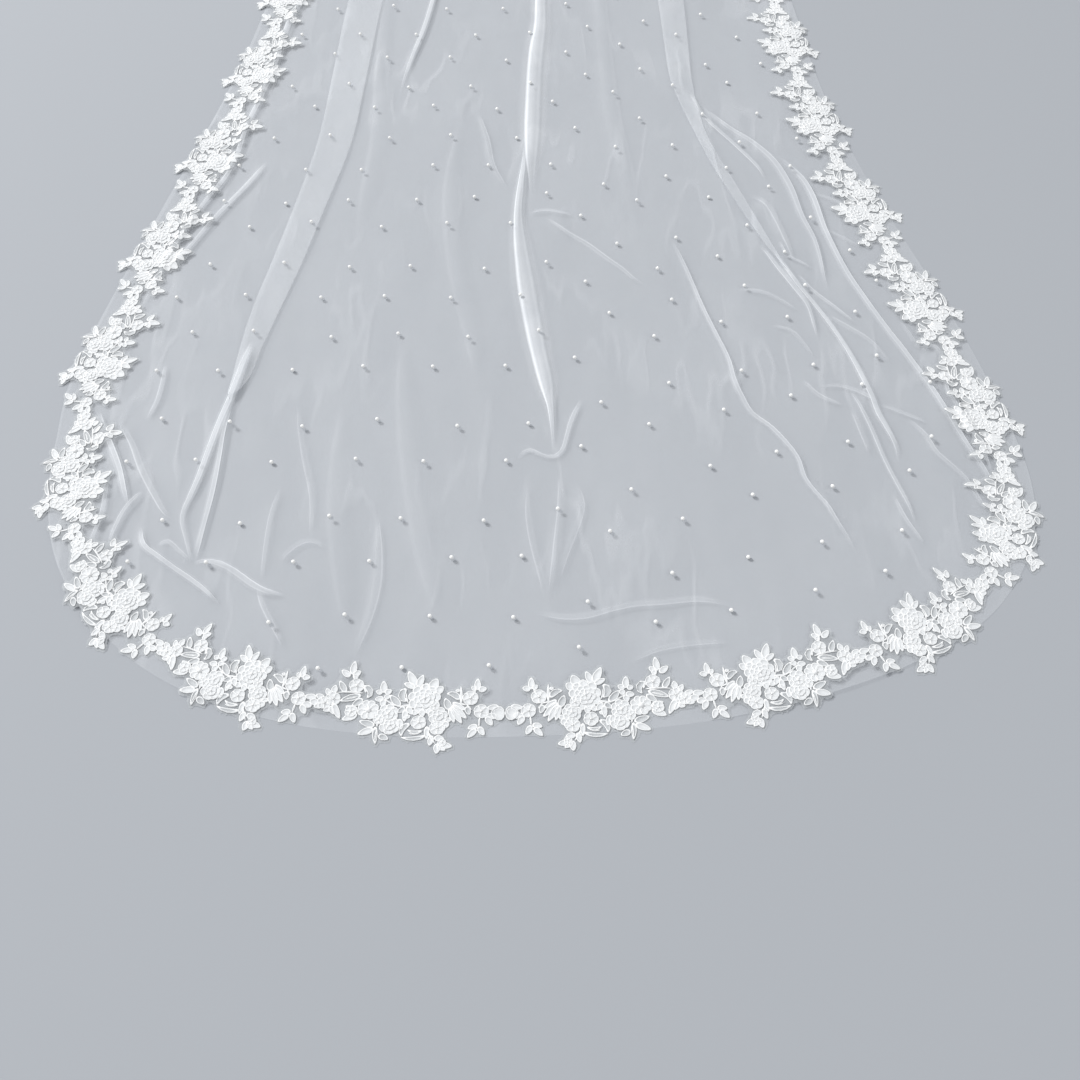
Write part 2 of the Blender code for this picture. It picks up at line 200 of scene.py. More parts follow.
bm = bmesh.new()
bmesh.ops.create_grid(bm, x_segments=1, y_segments=1, size=FLOOR_HALF)
floor = add_object("floor", mesh_of(bm, "floor"))
floor_finish = Finish("studio_floor", base_color=(*FLOOR_COLOUR, 1.0), roughness=0.85)
floor.data.materials.append(floor_finish.material)

# The tulle panel: one cut of soft bridal net with no seams. It lies in two flat pleats that run up to the
# neckband, with narrower folds between them that fade out in the train, and soft wrinkles towards the trim.
HEM_Y = -1.237
WIDEST_UP = 0.470  # the cape is widest this far above its hem
HEM_SQUARE = 2.38  # below that line the outline bends as an ellipse would at 2, with squarer corners above 2
HEM_TILT = 0.037  # the hem lies higher to the right by this share
TILT_TOP = 0.20  # the hem's tilt has gone this far up
TOP_UP = 2.4547  # the gathered edge at centre back
NECK_SAG = 0.030  # the neckline's ends lie this much higher
# The outline's half widths and the line of its middle, at heights above the hem
SIDE_UP = [0.470, 0.585, 0.785, 0.985, 1.185, 1.385, 1.645, 1.885, 2.085, 2.285, 2.400, 2.460]
SIDE_HALF = [0.746, 0.740, 0.702, 0.653, 0.606, 0.570, 0.540, 0.505, 0.450, 0.352, 0.272, 0.230]
MIDDLE_UP = [0, 0.15, 0.30, 0.40, 0.49, 0.59, 0.79, 0.98, 1.22, 1.37, 1.56, 1.90, 2.40]
MIDDLE_X = [0, 0.007, 0.0125, 0.011, 0.004, -0.0055, -0.013, -0.018, -0.0205, -0.018, -0.012, -0.007, 0]
TULLE_THICK = 0.0003
ROW_RUNS = [(TOP_UP, 2.30, 16), (2.30, 1.75, 30), (1.75, WIDEST_UP, 200)]  # rows of points: (from, to, how many)
ROWS_BELOW = 58
PLAIN_COLUMNS = (64, 138, 64)  # columns of points left of, between and right of the pleats

# A pleat lies in three layers. Each row: (up from the hem, x of its left edge, its width)
LEFT_PLEAT = [
    (0.560, -0.487, 0.000),
    (0.600, -0.484, 0.020),
    (0.685, -0.479, 0.034),
    (0.785, -0.468, 0.046),
    (0.885, -0.450, 0.051),
    (0.985, -0.434, 0.054),
    (1.185, -0.406, 0.062),
    (1.385, -0.396, 0.065),
    (1.645, -0.384, 0.068),
    (1.900, -0.345, 0.060),
    (2.200, -0.245, 0.042),
    (2.370, -0.160, 0.028),
    (2.500, -0.100, 0.018),
]
RIGHT_PLEAT = [
    (0.800, 0.452, 0.000),
    (0.850, 0.431, 0.006),
    (0.935, 0.396, 0.013),
    (1.085, 0.342, 0.020),
    (1.235, 0.297, 0.022),
    (1.365, 0.266, 0.040),
    (1.485, 0.260, 0.046),
    (1.645, 0.254, 0.051),
    (1.900, 0.225, 0.050),
    (2.200, 0.165, 0.036),
    (2.370, 0.115, 0.024),
    (2.500, 0.078, 0.014),
]
LAYER_RISE = 0.0016
HIGHEST_FOLD = 0.0102  # the laid cloth stands no higher than this, pleats apart

# Folds that don't lie over in full, in millimetres: (side of the crisp edge, height, how hard its layers are
# pressed together, 1 for a plain crease), then its points: (up from the hem, x, half width)
LEFT, RIGHT = 1, -1
FOLDS = {
    "below the left pleat": ((LEFT, 7, 1.3), [
        (350, -522, 3), (373, -517, 6), (406, -509, 7), (463, -500, 8), (521, -491, 8), (581, -479, 8),
        (640, -470, 7), (690, -462, 5),
    ]),
    "its left end": ((LEFT, 5, 0.5), [(268, -494, 3), (304, -507, 5), (350, -521, 6), (380, -516, 5)]),
    "its right end": ((RIGHT, 6, 0.8), [
        (266, -492, 3), (282, -490, 5), (334, -486, 6), (394, -482, 7), (456, -481, 6), (507, -481, 5),
        (560, -477, 4),
    ]),
    "left swag": ((RIGHT, 7, 1.0), [
        (367, -605, 3), (388, -613, 6), (437, -631, 7), (475, -650, 8), (511, -669, 7), (545, -685, 5),
    ]),
    "second left swag": ((LEFT, 5, 0.45), [
        (340, -532, 4), (352, -546, 6), (383, -567, 8), (434, -597, 9), (485, -622, 8), (520, -645, 5),
    ]),
    "left corner": ((RIGHT, 7, 1.1), [
        (197, -443, 3), (215, -461, 5), (237, -488, 6), (258, -518, 6), (279, -546, 6), (296, -568, 6),
        (328, -579, 4),
    ]),
    "left corner, outer": ((LEFT, 6, 0.9), [(301, -620, 3), (330, -615, 5), (358, -608, 5), (392, -589, 4)]),
    "left corner, by the trim": ((LEFT, 5, 0.6), [(297, -647, 4), (352, -640, 6), (414, -645, 5)]),
    "left corner, inner": ((RIGHT, 6, 0.7), [
        (213, -355, 3), (219, -381, 7), (231, -402, 8), (251, -428, 8), (266, -454, 7), (270, -474, 6),
        (266, -493, 4),
    ]),
    "left corner, tail": ((LEFT, 4, 0.35), [(132, -346, 4), (166, -365, 6), (198, -383, 6), (220, -392, 4)]),
    "left corner, short": ((RIGHT, 4, 0.5), [(269, -496, 3), (287, -515, 5), (304, -538, 5), (296, -549, 3)]),
    "left upright": ((LEFT, 4, 0.25), [(240, -389, 4), (298, -390, 6), (358, -388, 6), (400, -380, 4)]),
    "left arch": ((RIGHT, 4, 0.25), [(270, -366, 3), (290, -352, 6), (303, -335, 6), (302, -318, 5), (290, -304, 3)]),
    "second upright": ((LEFT, 4, 0.22), [
        (310, -326, 4), (382, -332, 7), (456, -351, 8), (521, -366, 6), (560, -372, 4),
    ]),
    "soft upright": ((RIGHT, 4, 0.25), [
        (114, -248, 5), (177, -230, 9), (231, -223, 10), (287, -224, 9), (350, -232, 5),
    ]),
    "by the left trim": ((LEFT, 5, 0.4), [(531, -606, 4), (561, -597, 7), (601, -594, 7), (643, -596, 4)]),
    "along the left trim": ((LEFT, 7, 1.1), [
        (740, -664, 3), (805, -650, 5), (935, -620, 6), (1027, -589, 7), (1090, -563, 8), (1155, -550, 8),
        (1227, -544, 8), (1325, -526, 9), (1427, -512, 9), (1575, -497, 10), (1645, -480, 10), (1900, -420, 9),
        (2080, -350, 4),
    ]),
    "beside it": ((LEFT, 6, 0.8), [
        (850, -632, 3), (900, -605, 6), (968, -574, 7), (1027, -544, 8), (1090, -511, 8), (1137, -492, 4),
    ]),
    "short fold": ((LEFT, 8, 1.6), [
        (1325, -262, 2), (1385, -254, 5), (1435, -245, 6), (1535, -225, 7), (1645, -210, 7), (1900, -185, 7),
        (2200, -130, 7), (2440, -80, 4),
    ]),
    "upper middle": ((LEFT, 9, 1.4), [
        (1027, -5, 3), (1062, -5, 7), (1130, -6, 11), (1220, -5, 14), (1325, -3, 14), (1420, 0, 14), (1480, 4, 14),
        (1530, 9, 13), (1645, 11, 12), (1900, 12, 11), (2200, 6, 9), (2440, 4, 5),
    ]),
    "lower middle": ((LEFT, 9, 1.25), [
        (460, 31, 2), (497, 30, 4), (547, 27, 8), (600, 20, 12), (665, 8, 13), (745, -4, 14), (820, -14, 14),
        (872, -20, 13), (920, -25, 12), (1000, -29, 10), (1077, -24, 9), (1130, -20, 6), (1200, -18, 3),
    ]),
    "curl under it": ((LEFT, 5, 0.7), [
        (453, -23, 2), (468, -16, 4), (470, -2, 5), (460, 14, 5), (457, 32, 5), (468, 44, 5), (490, 50, 5),
        (530, 60, 6), (570, 76, 4),
    ]),
    "left line to the hem": ((LEFT, 3.5, 0.2), [(214, 16, 4), (242, 12, 7), (298, 0, 8), (355, -8, 7), (400, -8, 4)]),
    "middle line to the hem": ((LEFT, 4, 0.28), [
        (214, 24, 4), (242, 28, 7), (298, 34, 8), (360, 40, 8), (424, 41, 5),
    ]),
    "right line to the hem": ((RIGHT, 4, 0.22), [
        (237, 37, 4), (280, 48, 7), (327, 64, 8), (367, 74, 7), (402, 68, 4),
    ]),
    "wave by the hem": ((RIGHT, 4, 0.33), [
        (187, 2, 4), (177, 37, 7), (178, 75, 8), (188, 108, 7), (197, 142, 7), (200, 184, 7), (206, 236, 7),
        (198, 283, 4),
    ]),
    "lower wave": ((RIGHT, 3.5, 0.22), [(109, 138, 3), (124, 166, 6), (134, 207, 7), (139, 272, 4)]),
    "above the middle": ((RIGHT, 4, 0.32), [(1057, -48, 4), (1125, -76, 7), (1193, -88, 8), (1272, -108, 5)]),
    "cross wrinkle": ((LEFT, 3, 0.4), [(992, 68, 3), (998, 45, 4), (1003, 20, 5), (996, -8, 3)]),
    "slanting wrinkle": ((RIGHT, 4, 0.5), [
        (820, 185, 3), (835, 170, 5), (860, 150, 6), (885, 125, 7), (920, 92, 7), (948, 57, 6), (985, 20, 3),
    ]),
    "crooked fold": ((RIGHT, 6.5, 0.85), [
        (270, 474, 2), (313, 460, 4), (337, 450, 5), (367, 439, 5), (390, 425, 5), (418, 411, 5), (453, 406, 5),
        (485, 390, 6), (517, 368, 6), (541, 344, 6), (575, 331, 6), (609, 322, 6), (651, 317, 5), (709, 300, 5),
        (770, 282, 5), (812, 272, 5), (887, 253, 5), (943, 236, 3),
    ]),
    "below the right pleat": ((LEFT, 7, 1.5), [
        (445, 559, 3), (475, 560, 5), (507, 552, 6), (541, 542, 7), (574, 537, 7), (616, 528, 7), (673, 512, 6),
        (740, 487, 6), (830, 444, 6), (900, 416, 4),
    ]),
    "beside the right pleat": ((LEFT, 5, 0.8), [
        (700, 468, 2), (724, 465, 4), (773, 459, 5), (814, 441, 6), (867, 416, 6), (915, 395, 4),
    ]),
    "first branch": ((RIGHT, 8, 0.75), [
        (800, 498, 3), (835, 496, 4), (935, 489, 6), (985, 476, 7), (1065, 463, 9), (1135, 440, 9), (1185, 408, 8),
        (1235, 362, 7), (1300, 316, 4),
    ]),
    "outer branch": ((RIGHT, 7, 1.1), [
        (355, 702, 3), (400, 696, 5), (485, 668, 6), (585, 638, 7), (655, 611, 7), (755, 570, 7), (835, 541, 7),
        (935, 516, 7), (1085, 488, 8), (1160, 440, 5),
    ]),
    "upper branch": ((LEFT, 6, 0.9), [
        (1080, 424, 3), (1115, 410, 5), (1185, 371, 6), (1265, 321, 5), (1330, 300, 3),
    ]),
    "soft branch": ((LEFT, 5, 0.35), [(879, 449, 3), (928, 440, 7), (982, 428, 8), (1025, 412, 8), (1042, 389, 5)]),
    "short curl": ((RIGHT, 4, 0.5), [(859, 478, 2), (875, 460, 4), (887, 441, 4), (925, 428, 3)]),
    "first spray": ((RIGHT, 5, 0.6), [(732, 534, 2), (755, 515, 4), (781, 494, 5), (812, 469, 5), (847, 450, 4)]),
    "second spray": ((RIGHT, 4, 0.35), [(644, 579, 3), (698, 549, 6), (724, 519, 7), (751, 490, 5)]),
    "by the right trim": ((RIGHT, 6, 1.0), [
        (431, 697, 3), (469, 692, 4), (507, 682, 5), (554, 670, 5), (588, 660, 5), (630, 662, 4),
    ]),
    "above it": ((RIGHT, 4, 0.4), [
        (640, 664, 3), (662, 665, 5), (684, 653, 5), (676, 633, 5), (709, 619, 5), (739, 608, 3),
    ]),
    "long soft fold": ((RIGHT, 5, 0.5), [
        (340, 682, 3), (382, 667, 5), (412, 658, 5), (441, 638, 6), (463, 621, 6), (501, 608, 6), (531, 587, 4),
    ]),
    "right of the pleat": ((LEFT, 6, 0.9), [
        (335, 566, 2), (365, 560, 4), (435, 541, 5), (535, 521, 5), (590, 506, 3),
    ]),
    "below it": ((RIGHT, 4, 0.45), [(298, 572, 3), (346, 550, 5), (382, 541, 3)]),
    "left of it": ((LEFT, 4, 0.3), [(463, 516, 4), (507, 510, 7), (548, 502, 5)]),
    "first wrinkle": ((RIGHT, 3, 0.3), [(762, 441, 3), (785, 416, 5), (804, 384, 6), (808, 350, 4)]),
    "second wrinkle": ((RIGHT, 3, 0.32), [(659, 456, 3), (687, 443, 5), (717, 425, 5), (728, 393, 3)]),
    "third wrinkle": ((RIGHT, 3, 0.4), [(558, 488, 3), (568, 471, 5), (581, 452, 6), (609, 433, 4)]),
    "fourth wrinkle": ((LEFT, 3, 0.3), [(561, 544, 3), (588, 516, 5), (598, 491, 5), (598, 459, 3)]),
    "fifth wrinkle": ((LEFT, 3, 0.3), [(524, 617, 3), (544, 579, 5), (558, 549, 3)]),
    "sixth wrinkle": ((RIGHT, 3, 0.25), [(994, 575, 3), (1029, 538, 6), (1047, 505, 3)]),
    "seventh wrinkle": ((RIGHT, 3, 0.25), [(907, 574, 3), (928, 548, 6), (953, 516, 3)]),
    "low wave on the left": ((LEFT, 6, 0.05), [
        (150, -262, 6), (215, -268, 14), (330, -286, 18), (450, -296, 16), (560, -300, 8),
    ]),
    "second low wave": ((LEFT, 6, 0.05), [
        (170, -130, 6), (260, -150, 16), (400, -176, 20), (560, -200, 18), (700, -216, 8),
    ]),
    "third low wave": ((LEFT, 6, 0.06), [
        (600, -90, 6), (700, -100, 15), (860, -130, 18), (1050, -150, 16), (1250, -140, 8),
    ]),
    "upper left wave": ((LEFT, 6, 0.08), [
        (900, -310, 6), (1020, -300, 16), (1200, -290, 18), (1400, -300, 16), (1640, -300, 14), (1900, -265, 12),
        (2200, -186, 9), (2440, -92, 5),
    ]),
    "upper right wave": ((RIGHT, 6, 0.08), [
        (930, 180, 6), (1060, 172, 14), (1250, 150, 16), (1450, 140, 15), (1645, 134, 14), (1900, 112, 12),
        (2200, 80, 9), (2440, 40, 5),
    ]),
}


def smooth(low, high, value):
    t = np.clip((value - low) / (high - low), 0, 1)
    return t * t * (3 - 2 * t)


def curve_through(at, x, y):
    """A smooth curve through a few points, read at the values given."""
    slope = np.gradient(y, x)
    at = np.clip(at, x[0], x[-1])
    i = np.clip(np.searchsorted(x, at) - 1, 0, len(x) - 2)
    step = x[i + 1] - x[i]
    t = (at - x[i]) / step
    start = y[i] * (2 * t**3 - 3 * t**2 + 1) + slope[i] * step * (t**3 - 2 * t**2 + t)
    end = y[i + 1] * (3 * t**2 - 2 * t**3) + slope[i + 1] * step * (t**3 - t**2)
    return start + end


fine_up = np.linspace(0, TOP_UP + NECK_SAG, 400)
fine_half = curve_through(fine_up, np.array(SIDE_UP), np.array(SIDE_HALF))
fine_middle = curve_through(fine_up, np.array(MIDDLE_UP), np.array(MIDDLE_X))


def half_width(down):
    squared = (1 - np.clip(down, 0, 1) ** HEM_SQUARE / 2) ** (1 / HEM_SQUARE)
    return squared * np.interp(WIDEST_UP - np.clip(down, -1, 0) * (TOP_UP - WIDEST_UP), fine_up, fine_half)


def plan(across, down):
    """The laid cloth's plan: across is -1 to 1, and down is 1 at the hem, 0 where it is widest, -1 at the neck."""
    below = np.clip(down, 0, 1) * (1 - np.abs(across) ** HEM_SQUARE / 2) ** (1 / HEM_SQUARE)
    up = WIDEST_UP * (1 - below) - np.clip(down, -1, 0) * (TOP_UP - WIDEST_UP)
    up = up + NECK_SAG * across * across * smooth(TOP_UP - 0.5, TOP_UP, up)
    x = across * half_width(down) + np.interp(up, fine_up, fine_middle)
    return x, up + HEM_TILT * x * (1 - smooth(0, TILT_TOP, up))


CREASE_LAYERS = 6.4  # how many layers a crease of 1 in the table above presses together
RIDGE_HALF = 0.0075  # a fold is at least this wide to each side where the cloth rises over it
RIDGE_SPREAD = 1.1  # a wider one rises over this many of its half widths
# A narrow fold's two edges are pressed to one crisp line: half widths in the table above, and as drawn
HALF_WIDTHS, HALVES_DRAWN = (0, 0.009, 0.014, 0.020), (0, 0.0042, 0.0110, 0.0170)
LEAST_HALF = 0.0015
FOLD_STEP = 0.012  # from one point of a fold's line to the next
FOLD_TAPER = 0.14  # the share of its length over which a fold rises at each end
FOLD_REACH = 8.0  # a fold's sides are followed this many half widths out
FOLD_NEAR = 0.06  # and never further than this
PRESSED_OUT = (3.0, 5.5)  # between these half widths its layers part again
FOLDS_APART = 0.045  # folds that come closer are kept in different sets

rng = np.random.default_rng(31)
RIPPLES = [  # soft unevenness of the whole cloth: (wavelength, height)
    (0.31, 0.0016),
    (0.17, 0.0011),
    (0.085, 0.0006),
    (0.043, 0.00025),
]
RIPPLES_EACH = 7  # ripples of about each wavelength
RIPPLE_SHARE = 1 / 2.2  # each one's share of the height
RIPPLE_TURN = 0.42  # in radians: the ripples run mostly up the cape, as the folds do
RIPPLE_FLAT = 0.0030  # what lies below this is pressed flat on the floor
RIPPLE_GAIN = 1.2
HEM_FLAT = (0.02, 0.03)  # the ripples begin this far above the hem, over this far
ripple_waves = []
for length, height in RIPPLES:
    for _ in range(RIPPLES_EACH):
        turn = rng.normal(0.0, RIPPLE_TURN)
        k = 2 * math.pi / (length * rng.uniform(0.8, 1.25))
        phase = rng.uniform(0, 2 * math.pi)
        ripple_waves.append((k * math.cos(turn), k * math.sin(turn), phase, height * RIPPLE_SHARE))

fold_sets = [[], [], [], []]
for (crisp, tall, press), points in FOLDS.values():
    table = np.array(points) / 1000
    run = np.concatenate([[0], np.cumsum(np.hypot(*np.diff(table[:, :2], axis=0).T))])
    fine = np.linspace(0, run[-1], max(8, int(run[-1] / FOLD_STEP)))
    taper = smooth(0, FOLD_TAPER, fine / run[-1]) * smooth(0, FOLD_TAPER, 1 - fine / run[-1])
    line_up, line_x, half = (curve_through(fine, run, table[:, k]) for k in range(3))
    half = np.maximum(np.interp(half, HALF_WIDTHS, HALVES_DRAWN), LEAST_HALF)
    path = np.array([line_up, line_x, half, tall / 1000 * taper, press * taper]).T
    for members in fold_sets:
        gaps = [np.hypot(line_up[:, None] - other[:, 0], line_x[:, None] - other[:, 1]).min() for other, _ in members]
        if min(gaps, default=1.0) > FOLDS_APART or members is fold_sets[-1]:
            members.append((path, crisp))
            break


# Tight, middling and long gathers run together down from the neckband: (how many across and where they start),
# (their unevenness across), (their sway further down), (their rise, and where it ends, down from the neckband),
# (where they begin), (how closely they are drawn in, and where that ends)
GATHERS = [
    ((109, 0.0), (3.1, 9.3, 0.4), (1.2, 5.0), (0.0042, 0.03, 0.26), (-0.02, -0.01), (0.6, 0.03, 0.26)),
    ((58, 0.0), (2.2, 7.3, 1.1), (0.8, 3.1), (0.0062, 0.05, 0.52), (-0.03, 0.05), (0.8, 0.10, 0.60)),
    ((23, -0.5), (1.9, 4.1, 0.0), (0.0, 1.0), (0.0056, 0.20, 1.00), (0.0, 0.12), (0.5, 0.20, 1.00)),
]
EDGE_PLAIN = (0.060, 0.115)  # in from the edge, the lace keeps the cloth plain up to the first


def gathers(x, up):
    """The gathers under the neckband, which fade out further down the cape: their rise, and how close they are."""
    away = np.clip(TOP_UP - up, 0, None)
    half = np.interp(up, fine_up, fine_half)
    across = x / np.maximum(half, 0.05)
    inner = smooth(*EDGE_PLAIN, (1 - np.abs(across)) * half)
    rise, close = np.zeros((2, *np.shape(across)))
    for (count, start), (uneven, turns, first), (sway, sways), (tall, *fade), begin, (drawn, *loosen) in GATHERS:
        swing = start + uneven * np.sin(turns * across + first) + sway * np.sin(sways * up)
        wave = 0.5 + 0.5 * np.cos(count * across + swing)
        rise += tall * (1 - smooth(*fade, away)) * smooth(*begin, away) * wave
        close += drawn * (1 - smooth(*loosen, away)) * wave
    return inner * rise, inner * close


def laid_cloth(x, up):
    """How high the cloth lies at points of the plan, and for each set of folds how far across the nearest fold each
    point is, in half widths from -1 at its crisp edge, and how many layers that fold presses together."""
    flat = 0.5 + 0.5 * np.tanh((up - HEM_FLAT[0]) / HEM_FLAT[1])
    z = sum(h * (1 + np.cos(kx * x + ky * up + phase)) / 2 for kx, ky, phase, h in ripple_waves) * flat
    z = np.maximum(z - RIPPLE_FLAT, 0) * RIPPLE_GAIN
    across, pressed = np.full((len(fold_sets), len(x)), FOLD_REACH), np.zeros((len(fold_sets), len(x)))
    for members, set_across, set_pressed in zip(fold_sets, across, pressed):
        for path, crisp in members:
            low, high = path.min(axis=0) - FOLD_NEAR, path.max(axis=0) + FOLD_NEAR
            near = np.nonzero((up > low[0]) & (up < high[0]) & (x > low[1]) & (x < high[1]))[0]
            px, pu = x[near], up[near]
            best, side, wide, tall, press = np.full(px.shape, 9.0), *np.zeros((4, len(px)))
            for a, b in zip(path[:-1], path[1:]):
                du, dx = b[0] - a[0], b[1] - a[1]
                t = np.clip(((pu - a[0]) * du + (px - a[1]) * dx) / (du * du + dx * dx), 0, 1)
                away = np.hypot(pu - a[0] - t * du, px - a[1] - t * dx)
                closer = away < best
                best = np.where(closer, away, best)
                side = np.where(closer, np.sign((px - a[1]) * du - (pu - a[0]) * dx), side)
                wide, tall, press = (
                    np.where(closer, a[i] + (b[i] - a[i]) * t, kept) for i, kept in ((2, wide), (3, tall), (4, press))
                )
            z[near] += tall * np.exp(-((best / np.maximum(RIDGE_SPREAD * wide, RIDGE_HALF)) ** 2))
            steps = np.clip(best / np.maximum(wide, LEAST_HALF), 0, FOLD_REACH)
            nearer = steps < np.abs(set_across[near])
            kept = near[nearer]
            set_across[kept] = (crisp * side * steps)[nearer]
            set_pressed[kept] = (press * (1 - smooth(*PRESSED_OUT, steps)))[nearer]
    z = z + gathers(x, up)[0]
    return HIGHEST_FOLD * np.tanh(z / HIGHEST_FOLD), across, CREASE_LAYERS * pressed


PLEAT_DROP = [(0.004, 3.4), (0.011, 0.0)]  # past its right edge, how the top layer comes down: (across, half layers)
PLEAT_CLOSES = (0.001, 0.012)  # a pleat as wide as the first is still open, and as the second lies in its layers
LEAST_PLEAT = 0.006


def pleat_profile(width, open_share):
    """(offset from the pleat's left edge, rise) through its three layers, from left to right."""
    r = LAYER_RISE / 2
    turn = np.linspace(-math.pi / 2, math.pi / 2, 5)
    under = [(width * t, 0) for t in np.linspace(-0.15, 1, 6)[:-1]]
    right = [(width + r * math.cos(a), r + r * math.sin(a)) for a in turn]
    middle = [(width * t, 2 * r) for t in np.linspace(1, 0, 6)[1:-1]]
    left = [(-r * math.cos(a), 3 * r + r * math.sin(a)) for a in turn]
    top = [(width * t, 4 * r) for t in np.linspace(0, 1, 6)[1:]]
    down = [(width + past, rise * r) for past, rise in PLEAT_DROP]
    made = np.array(under + right + middle + left + top + down)
    spread = np.linspace(made[0, 0] - 0.004, made[-1, 0], len(made))
    made[:, 0] += (spread - made[:, 0]) * open_share
    return made


def cloth_row(down):
    """Across and rise over the floor of every point in one row of the panel."""
    half = float(half_width(down))
    columns, last = [], -1.0
    for table, plain in zip((LEFT_PLEAT, RIGHT_PLEAT), PLAIN_COLUMNS):
        rows = np.array(table)
        up, across = 0.0, 0.0
        for _ in range(6):  # how far up the pleat's edge is depends on how far across it is, so it is closed in on
            up = float(plan(across, down)[1])
            inside = max(up, rows[0, 0])
            place_x = float(curve_through(inside, rows[:, 0], rows[:, 1]) - np.interp(inside, fine_up, fine_middle))
            row_half = half if inside == up else float(half_width((WIDEST_UP - inside) / (TOP_UP - WIDEST_UP)))
            across = place_x / row_half
        width = max(0.0, float(curve_through(up, rows[:, 0], rows[:, 2])))
        lying = float(smooth(*PLEAT_CLOSES, width))
        profile = pleat_profile(max(width, LEAST_PLEAT), 1 - lying)
        block = np.column_stack([across + profile[:, 0] / half, profile[:, 1] * lying])
        steps = np.linspace(last, block[0, 0], plain + 1)
        columns += [(a, 0.0) for a in steps[(0 if last == -1.0 else 1):-1]]
        columns += [tuple(point) for point in block]
        last = block[-1, 0]
    columns += [(a, 0.0) for a in np.linspace(last, 1.0, PLAIN_COLUMNS[2] + 1)[1:]]
    return np.array(columns)


row_runs = [np.linspace(first, last, rows + 1)[:-1] for first, last, rows in ROW_RUNS]
downs = np.concatenate([
    *[(WIDEST_UP - run) / (TOP_UP - WIDEST_UP) for run in row_runs],
    np.sin(np.linspace(0, math.pi / 2, ROWS_BELOW + 1)),
])
cloth_rows = [cloth_row(down) for down in downs]
column_count = len(cloth_rows[0])
bm = bmesh.new()
bmesh.ops.create_grid(bm, x_segments=column_count - 1, y_segments=len(downs) - 1, size=0.5)
tulle_mesh = mesh_of(bm, "tulle_panel")
place = np.empty(len(tulle_mesh.vertices) * 3, np.float32)
tulle_mesh.vertices.foreach_get("co", place)
place = place.reshape(-1, 3)
column = np.rint((place[:, 0] + 0.5) * (column_count - 1)).astype(int)
row = np.rint((0.5 - place[:, 1]) * (len(downs) - 1)).astype(int)
grid_x, grid_up, grid_rise = (np.zeros((len(downs), column_count)) for _ in range(3))
for i, (down, points) in enumerate(zip(downs, cloth_rows)):
    grid_x[i], grid_up[i] = plan(points[:, 0], np.full(column_count, down))
    grid_rise[i] = points[:, 1]
base, across, pressed = laid_cloth(grid_x.ravel(), grid_up.ravel())
grid_z = TULLE_THICK + base.reshape(grid_x.shape) + grid_rise
place[:, 0] = grid_x[row, column]
place[:, 1] = HEM_Y + grid_up[row, column]
place[:, 2] = grid_z[row, column]
tulle_mesh.vertices.foreach_set("co", place.ravel())
tulle_mesh.update()
STEEPEST = 0.30  # how upright a face may be and still count in full
DRAWN_FROM = 0.55  # the cloth is drawn closer from here up to the neckband
GATHER_LAYERS, NECK_LAYERS = 2.6, 1.1  # how many more layers the view meets in a gather, and at the neckband
slope = 1 / np.clip([abs(v.normal.z) for v in tulle_mesh.vertices], STEEPEST, 1.0) - 1
closeness = 1 - smooth(0.0, DRAWN_FROM, TOP_UP - grid_up)
gathered = gathers(grid_x.ravel(), grid_up.ravel())[1].reshape(grid_x.shape)
gathered = GATHER_LAYERS * gathered + NECK_LAYERS * closeness
measures = {"slope": slope, "gathered": gathered[row, column]}
for k in range(len(fold_sets)):
    measures[f"across_{k}"] = across[k].reshape(grid_x.shape)[row, column]
    measures[f"pressed_{k}"] = pressed[k].reshape(grid_x.shape)[row, column]
for name, values in measures.items():
    attribute = tulle_mesh.attributes.new(name, "FLOAT", "POINT")
    attribute.data.foreach_set("value", values.astype(np.float32))
tulle = add_object("tulle_panel", tulle_mesh)

NET_COVER = 0.155  # the share of the view that one layer of net fills
# Across a fold, in half widths from its middle: its crisp edge at -1, the layers between, its softer edge at 1
FOLD_SHAPE = [(-2.8, 0.0), (-1.5, 0.10), (-1.0, 1.0), (-0.5, 0.44), (0.5, 0.34), (1.0, 0.44), (1.5, 0.17), (2.9, 0.0)]
STREAKS = (13.0, 3.2, 4.0)  # the net's unevenness is drawn out up the cape
WRINKLE_LINES = [(0.0, 0.0), (0.44, 0.0), (0.5, 1.0), (0.54, 0.3), (0.66, 0.0)]  # one level of it shows as a wrinkle
WRINKLE_PATCHES = [(0.0, 0.0), (0.42, 0.0), (0.66, 1.0)]
TULLE_SHADE, TULLE_LIGHT = (0.83, 0.855, 0.89, 1.0), (0.89, 0.905, 0.925, 1.0)
tulle_finish = Finish("soft_tulle", roughness=0.62, sheen_weight=0.25, sheen_roughness=0.4)
cloudy = tulle_finish.noise(26.0, 3.0)
fibres = tulle_finish.noise(340.0, 1.0)
streaks = tulle_finish.noise(1.0, 2.5, at=tulle_finish.stretched(STREAKS))
creased = 0.0
for k in range(len(fold_sets)):
    fold_place = tulle_finish.value(f"across_{k}")
    shape = [(0.5 + at / FOLD_REACH, grey) for at, grey in FOLD_SHAPE]
    crease = tulle_finish.ramp(shape, 0.5 + fold_place * (1 / FOLD_REACH))
    creased = creased + crease * tulle_finish.value(f"pressed_{k}")
patchy = tulle_finish.ramp(WRINKLE_PATCHES, tulle_finish.noise(4.2, 1.0))
wrinkled = tulle_finish.ramp(WRINKLE_LINES, streaks) * patchy
layers = 1.0 + creased + tulle_finish.value("gathered") + 0.6 * tulle_finish.value("slope") + 0.9 * wrinkled
seen_through = (1 - NET_COVER) ** layers
tulle_finish.put(tulle_finish.shader, {
    "Base Color": tulle_finish.mixed(cloudy, TULLE_SHADE, TULLE_LIGHT),
    "Alpha": (1 - seen_through) * (0.50 + 0.12 * cloudy + 0.12 * fibres + 0.78 * streaks),
})
